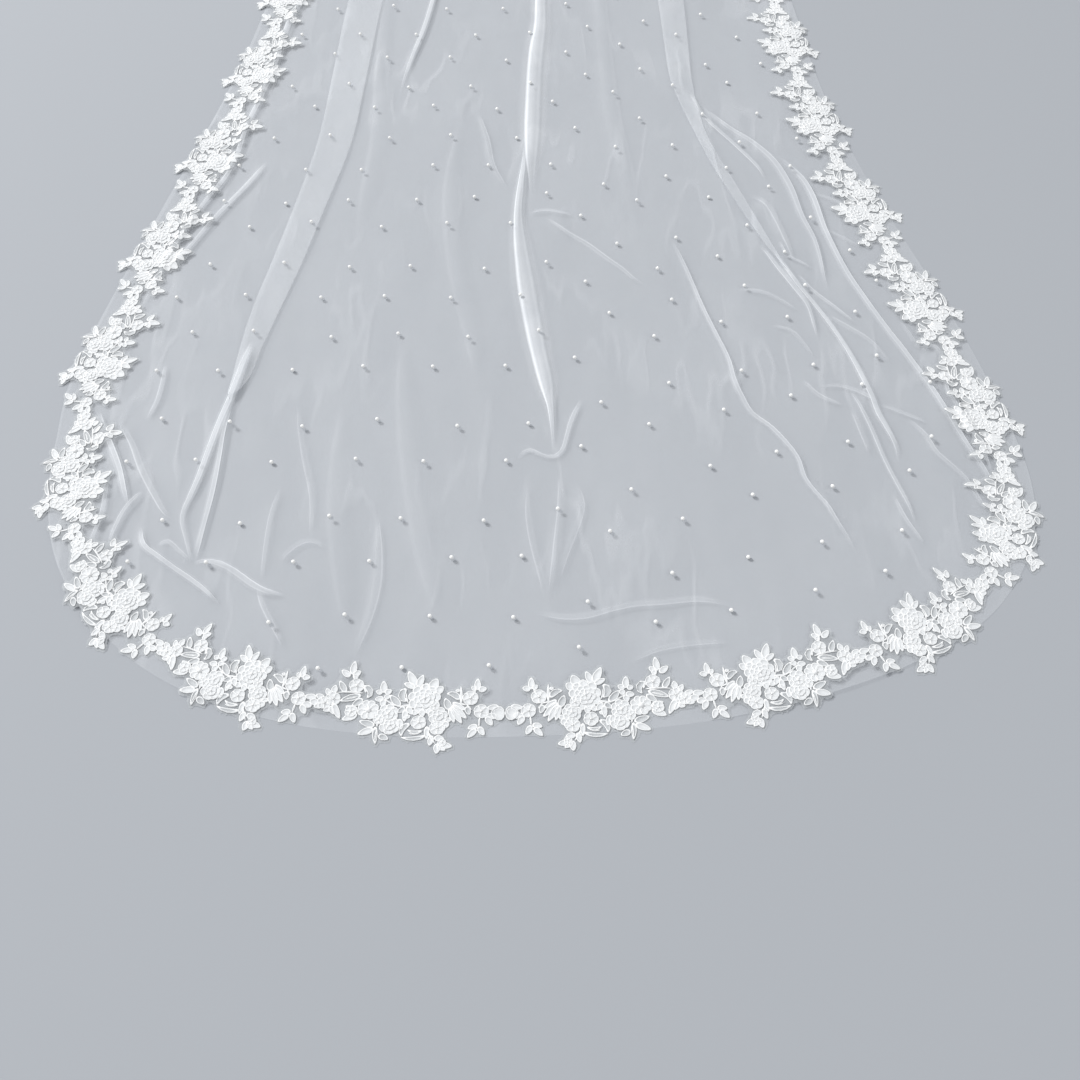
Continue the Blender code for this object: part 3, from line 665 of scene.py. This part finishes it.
tulle_finish.bump(0.25 * fibres + 0.30 * creased + 0.5 * wrinkled, 0.0012, 0.6)
tulle_mesh.materials.append(tulle_finish.material)
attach(tulle, "root")
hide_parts("panel")

# The pearls: round beads of 6.5 mm, sewn one by one to the tulle with a thread through each. They stand on the
# cloth's face in staggered pairs of rows, which the folded cloth lifts towards the right.
PEARL_RADIUS = 0.00325
PEARL_SEAT = 0.92  # its middle stands this many radii above the cloth
PEARLS_APART = 0.115
PEARLS_ACROSS = 7  # to each side of the one that the table names
PEARL_ROWS = [  # (up from the hem at the middle, x of one of its pearls)
    (0.100, -0.060), (0.172, -0.030), (0.272, -0.010), (0.342, -0.080), (0.450, -0.050), (0.522, -0.010),
    (0.636, -0.040), (0.706, -0.110), (0.792, -0.020), (0.863, -0.090), (0.962, -0.040), (1.030, -0.100),
    (1.113, -0.080), (1.195, -0.150), (1.290, -0.080), (1.350, -0.130), (1.440, -0.060), (1.510, -0.120),
]
ROW_PAIRS_APART = 0.165  # further up, the last two rows are repeated at this distance
ROW_CLIMB = 0.36  # how steeply the rows rise to the right, up to a most of (at the hem, less for each metre up)
ROW_CLIMB_MOST = (0.24, 0.14)
ROW_CLIMB_LEAST = 0.07  # the most is never less than this
HIGHER_PAIRS = 6
PEARL_SHIFT = 0.009  # a sewer's unevenness
TRIM_CLEAR = 0.083  # pearls are sewn this far in from the edge
BAND_CLEAR = 0.06
UNDER_PEARL = 0.008  # the cloth this far round a pearl carries it

# The panel's edge, from the neckband's left end round the hem to its right end
rim = [plan(-1.0, down) for down in np.linspace(-1, 1, 150)] + [plan(a, 1.0) for a in np.linspace(-1, 1, 151)[1:-1]]
rim = np.array(rim + [plan(1.0, down) for down in np.linspace(1, -1, 150)])
pearl_rng = np.random.default_rng(7)
pearl_spots = []
higher_rows = [(up + k * ROW_PAIRS_APART, x) for k in range(1, HIGHER_PAIRS + 1) for up, x in PEARL_ROWS[-2:]]
for row_up, row_x in PEARL_ROWS + higher_rows:
    for k in range(-PEARLS_ACROSS, PEARLS_ACROSS + 1):
        x = row_x + k * PEARLS_APART + pearl_rng.uniform(-1, 1) * PEARL_SHIFT
        most = max(ROW_CLIMB_LEAST, ROW_CLIMB_MOST[0] - ROW_CLIMB_MOST[1] * row_up)
        climb = most * math.tanh(ROW_CLIMB * max(x, 0) / most)
        up = row_up + climb + pearl_rng.uniform(-1, 1) * PEARL_SHIFT
        nearest = np.hypot(rim[:, 0] - x, rim[:, 1] - up).argmin()
        clear = math.hypot(rim[nearest, 0] - x, rim[nearest, 1] - up)
        if abs(x) < abs(rim[nearest, 0]) + 0.02 and clear > TRIM_CLEAR and up < TOP_UP - BAND_CLEAR:
            pearl_spots.append((x, up))
pearl_spots = np.array(pearl_spots)
all_x, all_up, all_z = grid_x.ravel(), grid_up.ravel(), grid_z.ravel()
bm = bmesh.new()
for x, up in pearl_spots:
    near = np.hypot(all_x - x, all_up - up) < UNDER_PEARL
    top = all_z[near].max() if near.any() else TULLE_THICK
    bead = bmesh.ops.create_icosphere(bm, subdivisions=2, radius=PEARL_RADIUS)["verts"]
    bmesh.ops.translate(bm, verts=bead, vec=(x, HEM_Y + up, top + PEARL_RADIUS * PEARL_SEAT))
pearls = add_object("pearls", mesh_of(bm, "pearls"))
pearl_finish = Finish("pearl", roughness=0.22, coat_weight=0.6, coat_roughness=0.12, sheen_weight=0.1)
lustre = pearl_finish.noise(700.0, 2.0)
pearl_finish.put(pearl_finish.shader, {
    "Base Color": pearl_finish.mixed(lustre, (0.93, 0.92, 0.89, 1.0), (0.97, 0.965, 0.95, 1.0)),
})
pearls.data.materials.append(pearl_finish.material)
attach(pearls, "root")

# The lace trim: corded flowers, leaves and scrolls worked on fine net, cut out round their edge and sewn on
# flat. Its repeat runs up both sides, mirrored from a join near the middle of the hem.
TRIM_RUNS = {  # name: (direction from the join, repeats, how much each repeat is eased shorter than the last)
    "right": (1, 13, 0.0018),
    "left": (-1, 12, 0.0),
}
JOIN_S = -0.036  # the two mirrored runs meet this far along the hem from its middle
REPEAT = 237.5  # the motif's length in its own millimetres, which all sizes of the motif are in
MOTIF_START = -36.0
CORD = 1.5
CORD_RISE = 1.25
NET_LIFT = 0.35
SIDES = 12
CORD_MOST = 0.85  # the most of a narrow petal's half width that its cord takes up
# From a petal's foot in to its middle: the foot, the cord's outer and inner edge, and the filling's edge and middle,
# each with its height in cord rises and how closely it is worked, which also paints the lower rings greyer as painted
# shade
SOLID_RINGS = [(0.0, 0.9), (0.6, 1.0), (1.0, 1.0), (0.45, 0.62), (0.62, 0.76)]
OPEN_RINGS = [(0.0, 0.9), (0.6, 1.0), (1.0, 1.0), (0.15, 0.30), (0.2, 0.22)]
PETALS_FROM = 0.15  # a flower's petals begin this share of its radius from its middle
PETALS_WIDE = 1.995  # and are this wide, where at 2 their tips would just touch
BUD = ((MOTIF_START, 33), (MOTIF_START + 18, 33), 20, 0, True, 0.5)  # a bud that covers the join of the two runs
CUT_SMOOTHED = 3

# Sprigs, leaves, stems and scrolls: (base s, base w, tip s, tip w, width, bend in degrees, worked solid)
LEAVES = [
    # the sprig and flowers where the repeat begins
    (-1, 66, -1, 84, 9, 0, 1), (-2, 67, -13, 69, 9, 12, 1), (0, 67, 7, 72, 8, -12, 1),
    (1, 68, 5, 58, 2.2, 0, 1), (-12, 29, -20, 16, 9, 0, 1), (-4, 28, -3, 14, 2.6, 0, 1),
    (-3, 15, -10, 2, 8.5, 10, 1), (-2, 15, 11, 12, 8.5, 25, 1), (0, 12, 11, -1, 8.5, 0, 1),
    (-34, 34, -21, 36, 10, 0, 1), (-29, 42, -13, 41, 9, -10, 1), (-26, 29, -12, 30, 9, 0, 1),
    (13, 43, 9, 31, 8, 0, 0), (13, 46, 6, 38, 2, 0, 1),
    # scroll, stem and the fan of leaves beside it
    (20, 46, 21, 73, 4, 6, 1), (23, 52, 39, 61, 9, 100, 0), (22, 66, 28, 66, 5, 0, 1),
    (12, 45, 30, 48, 2.4, 10, 1), (34, 38, 41, 55, 10, 0, 0), (31, 49, 13, 38, 8, 14, 1),
    (31, 46, 12, 26, 9, 10, 1), (33, 43, 18, 19, 9, 0, 1), (35, 41, 28, 20, 8, -8, 1),
    (36, 22, 42, 12, 9, 0, 1), (32, 26, 41, 22, 7, 0, 1),
    # the hanging sprig
    (45, -11, 29, -13, 9.5, 0, 1), (47, -9, 48, -24, 9, 0, 1), (55, 2, 57, -13, 8, 0, 1),
    (52, -1, 39, -3, 9, 0, 1), (62, 15, 61, -4, 7, 0, 1), (60, 7, 50, -10, 3, 10, 1),
    (48, -12, 37, -19, 7, 0, 1),
    # the large curl under the rose
    (62, 2, 93, -2, 6, -50, 0), (83, 17, 92, -1, 8, 110, 0), (67, 9, 86, 9, 5, -80, 0),
    (70, 6, 84, 4, 2, -60, 1),
    # over and beside the rose
    (79, 71, 72, 89, 10, 10, 1), (80, 72, 93, 94, 11.5, -6, 1), (81, 70, 97, 76, 9, 0, 1),
    (60, 66, 53, 84, 14, 0, 1), (54, 63, 44, 72, 12, 0, 1), (66, 66, 67, 77, 12, 0, 1),
    (92, 67, 90, 50, 10, 165, 0), (88, 47, 92, 62, 2.4, -40, 1), (90, 42, 81, 31, 8, 0, 1),
    (92, 41, 101, 33, 8, 0, 0), (91, 38, 91, 20, 8, 0, 1), (98, 42, 114, 58, 10, 0, 0),
    (84, 44, 101, 41, 3, 20, 1), (100, 42, 121, 52, 2.4, -20, 1), (62, 40, 57, 31, 10, 0, 1),
    (71, 38, 68, 28, 9, 0, 1), (77, 38, 80, 30, 9, 0, 1), (98, 24, 93, 9, 9, 10, 1), (84, 29, 93, 26, 6, 0, 1),
    # the small sprig
    (122, 60, 125, 78, 10, 0, 1), (121, 60, 112, 65, 9, 0, 1), (124, 60, 133, 62, 8, 0, 1),
    (121, 52, 133, 50, 9, 0, 1), (121, 53, 113, 57, 8, 0, 1), (121, 51, 122, 40, 9, 0, 1),
    # scroll, tall sprig and outlined leaves
    (151, 66, 144, 51, 9, -170, 0), (146, 58, 151, 66, 3, 40, 1), (169, 82, 169, 103, 10, 0, 1),
    (168, 81, 158, 89, 9.5, 0, 1), (171, 79, 185, 87, 9.5, 0, 1), (167, 79, 160, 81, 8, 0, 1),
    (165, 76, 168, 84, 3, 0, 1), (172, 55, 184, 71, 9, 0, 0), (151, 54, 178, 42, 10, 8, 0),
    (156, 51, 172, 45, 2, 6, 1), (148, 57, 184, 53, 2.6, 24, 1), (148, 49, 161, 37, 9, 0, 0),
    (152, 31, 169, 36, 10, 0, 1), (152, 27, 170, 16, 11, 0, 1), (158, 24, 168, 27, 7, 0, 1),
    # the flowers where it ends
    (186, 38, 173, 17, 9, 0, 1), (190, 33, 181, 22, 7, 0, 1), (188, 52, 188, 64, 9, 0, 1),
    (192, 48, 199, 57, 8, 0, 1), (198, 41, 210, 46, 9, 0, 1), (198, 33, 209, 28, 9, 0, 1),
    (187, 30, 196, 25, 8, 0, 1),
    # the lowest scroll and leaves
    (127, 12, 148, 17, 9.5, 0, 0), (128, 8, 147, -2, 10, 0, 1), (126, 11, 123, -14, 7, 12, 0),
    (124, 6, 124, -10, 2, 8, 1), (121, -1, 108, -6, 9, 0, 0), (126, 24, 124, 10, 3.4, 0, 1),
]
# Flowers: (s, w, radius, petals, turn in degrees, radius of the eye, lift of the petals)
FLOWERS = [
    (68, 54, 22.0, 9, 10, 2.0, 0.1), (68, 54, 14.5, 8, 30, 2.0, 0.9), (68, 54, 8.5, 6, 0, 2.4, 1.7),
    (8, 55, 10.5, 5, 90, 2.0, 0.2), (-6, 36, 10.0, 5, 100, 2.0, 0.2), (73, 20, 10.0, 5, 60, 2.0, 0.3),
    (160, 67, 10.5, 5, 80, 2.2, 0.2), (139, 34, 14.5, 8, 20, 4.2, 0.3), (187, 44, 10.0, 5, 70, 1.8, 0.2),
    (197, 36, 9.0, 5, 10, 1.8, 0.4), (113, 31, 14.0, 7, 0, 2.5, 0.2), (109, 14, 13.5, 6, 30, 2.5, 0.4),
    (113, 30, 8.0, 5, 10, 2.0, 1.1), (109, 14, 7.5, 5, 50, 2.0, 1.3), (49, 30, 13.0, 7, 15, 2.5, 0.2),
    (49, 30, 7.5, 5, 45, 2.0, 1.1), (49, 13, 10.5, 6, 0, 2.0, 0.4), (161, 29, 8.0, 5, 40, 2.0, 0.6),
    (42, -8, 5.5, 5, 0, 1.4, 0.5), (124, 21, 7.0, 5, 0, 1.6, 0.6), (54, 44, 7.0, 5, 20, 1.6, 0.7),
]
NET_MARGIN = 5.0  # the fine net is cut this far outside the flowers
NET_MESH = 3.6  # its grid, which is smoothed along the cut
NET_COLUMNS, NET_ROWS = 72, 40
NET_MIDDLE = (82.5, 38.0)
LEAF_STAGGER = 0.05  # one leaf lies over the next by this
EYE_FLAT = 0.6  # a flower's eye is this much lower than round


def petal(bm, cord, base, tip, width, bend, solid, lift, pointed=True):
    """One petal or leaf of the lace: a raised cord round its edge, and a crowned or a sunk filling."""
    ring = bmesh.ops.create_circle(bm, cap_ends=True, segments=SIDES, radius=1.0)["verts"]
    made = bmesh.ops.extrude_face_region(bm, geom=list(ring[0].link_faces), use_keep_orig=True)["geom"]
    face = next(part for part in made if isinstance(part, bmesh.types.BMFace))
    rings = [ring, list(face.verts)]
    half_cord = min(CORD_MOST, 2 * CORD / width) / 2
    for _ in range(2):
        bmesh.ops.inset_individual(bm, faces=[face], thickness=half_cord, use_even_offset=False)
        rings.append(list(face.verts))
    rings.append(bmesh.ops.poke(bm, faces=[face])["verts"])
    chord = Vector(tip) - Vector(base)
    length, way = chord.length, chord.normalized()
    side = Vector((-way.y, way.x))
    half_bend = math.radians(bend) / 2
    for verts, (height, fill) in zip(rings, SOLID_RINGS if solid else OPEN_RINGS):
        for vert in verts:
            u, v = (vert.co.x + 1) / 2, vert.co.y
            swell = (1.12 - 0.5 * u * u) if pointed else (0.62 + 0.55 * u)
            offset = v * width / 2 * swell
            if half_bend:
                radius = length / 2 / math.sin(half_bend)
                turn = half_bend * (2 * u - 1)
                along = radius * math.sin(turn) + length / 2 + offset * math.sin(turn)
                aside = radius * (math.cos(turn) - math.cos(half_bend)) + offset * math.cos(turn)
            else:
                along, aside = u * length, offset
            spot = Vector(base) + way * along + side * aside
            vert.co = (spot.x, spot.y, NET_LIFT + lift + CORD_RISE * height)
            vert[cord] = fill


def flower(bm, cord, s, w, radius, petals, turn, eye_radius, lift):
    """A small flower: petals round an eye."""
    width = PETALS_WIDE * radius * math.sin(math.pi / petals)
    for k in range(petals):
        a = math.radians(turn) + 2 * math.pi * k / petals
        base, tip = ((s + r * math.cos(a), w + r * math.sin(a)) for r in (PETALS_FROM * radius, radius))
        petal(bm, cord, base, tip, width, 0, True, lift, pointed=False)
    knot = bmesh.ops.create_icosphere(bm, subdivisions=1, radius=eye_radius)["verts"]
    for vert in knot:
        vert.co = (vert.co.x + s, vert.co.y + w, EYE_FLAT * vert.co.z + NET_LIFT + lift + CORD_RISE)
        vert[cord] = 1.0


def motif(with_bud):
    """One repeat of the lace, flat, in millimetres: s along the trim and w in from the panel's edge."""
    bm = bmesh.new()
    cord = bm.verts.layers.float.new("cord")
    for s0, w0, s1, w1, width, bend, solid in LEAVES:
        petal(bm, cord, (s0, w0), (s1, w1), width, bend, bool(solid), LEAF_STAGGER * (len(bm.verts) % 5))
    for row in FLOWERS:
        flower(bm, cord, *row)
    if with_bud:
        petal(bm, cord, *BUD)
    worked = np.array([vert.co[:2] for vert in bm.verts])
    net = bmesh.ops.create_grid(bm, x_segments=NET_COLUMNS, y_segments=NET_ROWS, size=NET_MESH / 2)["verts"]
    for vert in net:
        vert.co = (vert.co.x * NET_COLUMNS + NET_MIDDLE[0], vert.co.y * NET_ROWS + NET_MIDDLE[1], NET_LIFT)
        vert[cord] = 0.0
    middles = {face: face.calc_center_median() for face in {face for vert in net for face in vert.link_faces}}
    spare = [f for f, m in middles.items() if np.hypot(worked[:, 0] - m.x, worked[:, 1] - m.y).min() > NET_MARGIN]
    bmesh.ops.delete(bm, geom=spare, context="FACES")
    cut = [vert for vert in bm.verts if vert.is_boundary]
    for _ in range(CUT_SMOOTHED):
        bmesh.ops.smooth_vert(bm, verts=cut, factor=0.5, use_axis_x=True, use_axis_y=True)
    return mesh_of(bm, "motif")


edge_run = np.concatenate([[0], np.cumsum(np.hypot(*np.diff(rim, axis=0).T))])
edge_run -= edge_run[len(edge_run) // 2]
edge_ends = edge_run[0], edge_run[-1]
BEYOND = 0.1  # the line of the edge is drawn on past the neckband, where the last flowers are cut off
EDGE_AIM = 0.004  # the edge's direction is read this far to both sides
EDGE_SETTLES = (-0.02, 0.005)  # outside the panel's edge the trim comes down to the floor
SEAM_AT = 0.7  # the cut along the neckband is straight, and close to the neckline about here
first_way, last_way = ((way / np.hypot(*way)) * BEYOND for way in (rim[0] - rim[2], rim[-1] - rim[-3]))
rim_on = np.vstack([rim[0] + first_way, rim, rim[-1] + last_way])
run_on = np.concatenate([[edge_run[0] - BEYOND], edge_run, [edge_run[-1] + BEYOND]])

lace_finish = Finish("corded_lace", roughness=0.72, sheen_weight=0.2, sheen_roughness=0.5)
threads = lace_finish.noise(900.0, 2.0)
tone = lace_finish.noise(60.0, 2.0)
# The share of cord sets how densely the lace covers. It also paints the lower filling and the net greyer than the
# raised cord: painted shade under the cord's relief.
cord_and_painted_shade = lace_finish.value("cord")
lace_finish.put(lace_finish.shader, {
    "Base Color": lace_finish.mixed(
        cord_and_painted_shade**2.2 + 0.25 * (tone - 0.5), (0.58, 0.60, 0.615, 1.0), (0.89, 0.89, 0.885, 1.0)
    ),
    "Alpha": 0.42 + 0.85 * cord_and_painted_shade + 0.10 * (threads - 0.5),
})
lace_finish.bump(threads, 0.0006, 0.5)

plain_motif, bud_motif = motif(False), motif(True)
for run_name, (side, repeats, ease) in TRIM_RUNS.items():
    run = abs(edge_ends[side > 0] - JOIN_S)
    pitches = run / repeats + ease * (repeats / 2 - 0.5 - np.arange(repeats))
    starts = np.concatenate([[0], np.cumsum(pitches)])
    for k in range(repeats):
        mesh = (bud_motif if k == 0 else plain_motif).copy()
        flat = np.empty(len(mesh.vertices) * 3, np.float32)
        mesh.vertices.foreach_get("co", flat)
        flat = flat.reshape(-1, 3)
        s = JOIN_S + side * (starts[k] + (flat[:, 0] - MOTIF_START) / REPEAT * pitches[k])
        before, after = ([np.interp(s + aim, run_on, rim_on[:, i]) for i in (0, 1)] for aim in (-EDGE_AIM, EDGE_AIM))
        dx, du = after[0] - before[0], after[1] - before[1]
        long = np.hypot(dx, du)
        x = np.interp(s, run_on, rim_on[:, 0]) - flat[:, 1] / 1000 * du / long
        up = np.interp(s, run_on, rim_on[:, 1]) + flat[:, 1] / 1000 * dx / long
        height = laid_cloth(x, up)[0]
        inside = smooth(*EDGE_SETTLES, flat[:, 1] / 1000)
        flat[:, 0], flat[:, 1] = x, HEM_Y + up
        flat[:, 2] = TULLE_THICK + height * inside + flat[:, 2] / 1000
        mesh.vertices.foreach_set("co", flat.ravel())
        if side < 0:
            mesh.flip_normals()
        if k == repeats - 1:
            bm = bmesh.new()
            bm.from_mesh(mesh)
            everything = [*bm.verts, *bm.edges, *bm.faces]
            seam = (rim_on[0 if side < 0 else -1, 0] * SEAM_AT, HEM_Y + TOP_UP + 0.5 * NECK_SAG, 0)
            seam_slope = 1.5 * NECK_SAG / (0.9 * seam[0])
            bmesh.ops.bisect_plane(bm, geom=everything, plane_co=seam, plane_no=(-seam_slope, 1, 0), clear_outer=True)
            bm.to_mesh(mesh)
            bm.free()
        mesh.update()
        name = f"lace_{run_name}_{k + 1:02d}"
        piece = add_object("trim_" + name[5:], mesh)
        mesh.materials.append(lace_finish.material)
        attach(piece, "root")
        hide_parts(name)

# The neckband: a satin ribbon folded in half over the gathered edge and closed with one row of stitches along
# its lower edge, which holds the gathers.
BAND_HALF = 0.2312
BAND_LOW_Y = HEM_Y + TOP_UP + 0.0003
BAND_THICK = 0.0046
STITCH_IN = 0.0022
STITCH_LONG = 0.0024
STITCHES_APART = 0.0036
STITCH_HALF = 0.00028
SATIN_RIBS = (2600.0, 300.0, 900.0)

satin = Finish("satin_ribbon", roughness=0.30, sheen_weight=0.2, sheen_roughness=0.4)
weave = satin.noise(1.0, 1.0, at=satin.stretched(SATIN_RIBS))
satin.put(satin.shader, {
    "Base Color": satin.mixed(satin.noise(55.0, 3.0), (0.68, 0.68, 0.67, 1.0), (0.77, 0.77, 0.76, 1.0)),
    "Roughness": 0.24 + 0.20 * weave,
})
satin.bump(weave, 0.0005, 0.6)
band = bpy.data.objects["neckband"]
band.data.materials.clear()
band.data.materials.append(satin.material)

bm = bmesh.new()
count = int(2 * BAND_HALF / STITCHES_APART) - 1
for k in range(count):
    share = (2 * k - count + 1) / count
    spot = Vector((BAND_HALF * share, BAND_LOW_Y + NECK_SAG * share * share + STITCH_IN, BAND_THICK))
    turn = math.atan(2 * NECK_SAG * share / BAND_HALF)
    stitch = bmesh.ops.create_icosphere(bm, subdivisions=1, radius=1.0)["verts"]
    bmesh.ops.scale(bm, verts=stitch, vec=(STITCH_LONG / 2, STITCH_HALF, STITCH_HALF))
    bmesh.ops.rotate(bm, verts=stitch, cent=(0, 0, 0), matrix=Matrix.Rotation(turn, 3, "Z"))
    bmesh.ops.translate(bm, verts=stitch, vec=spot)
stitches = add_object("neckband_stitches", mesh_of(bm, "neckband_stitches"))
thread = Finish("sewing_thread", roughness=0.6)
thread.put(thread.shader, {
    "Base Color": thread.mixed(thread.noise(800.0), (0.66, 0.66, 0.64, 1.0), (0.92, 0.92, 0.90, 1.0)),
})
stitches.data.materials.append(thread.material)
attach(stitches, "root")

# The hook and eye: bent wire plated silver, one sewn to each end of the neckband. They close the cape at the
# throat, and lie open here.
wire = Finish("silver_wire", base_color=(0.78, 0.78, 0.79, 1.0), metallic=1.0)
wire.put(wire.shader, {"Roughness": 0.22 + 0.12 * wire.noise(500.0)})
for name in ("hook", "eye"):
    fastener = bpy.data.objects[name]
    fastener.data.materials.clear()
    fastener.data.materials.append(wire.material)
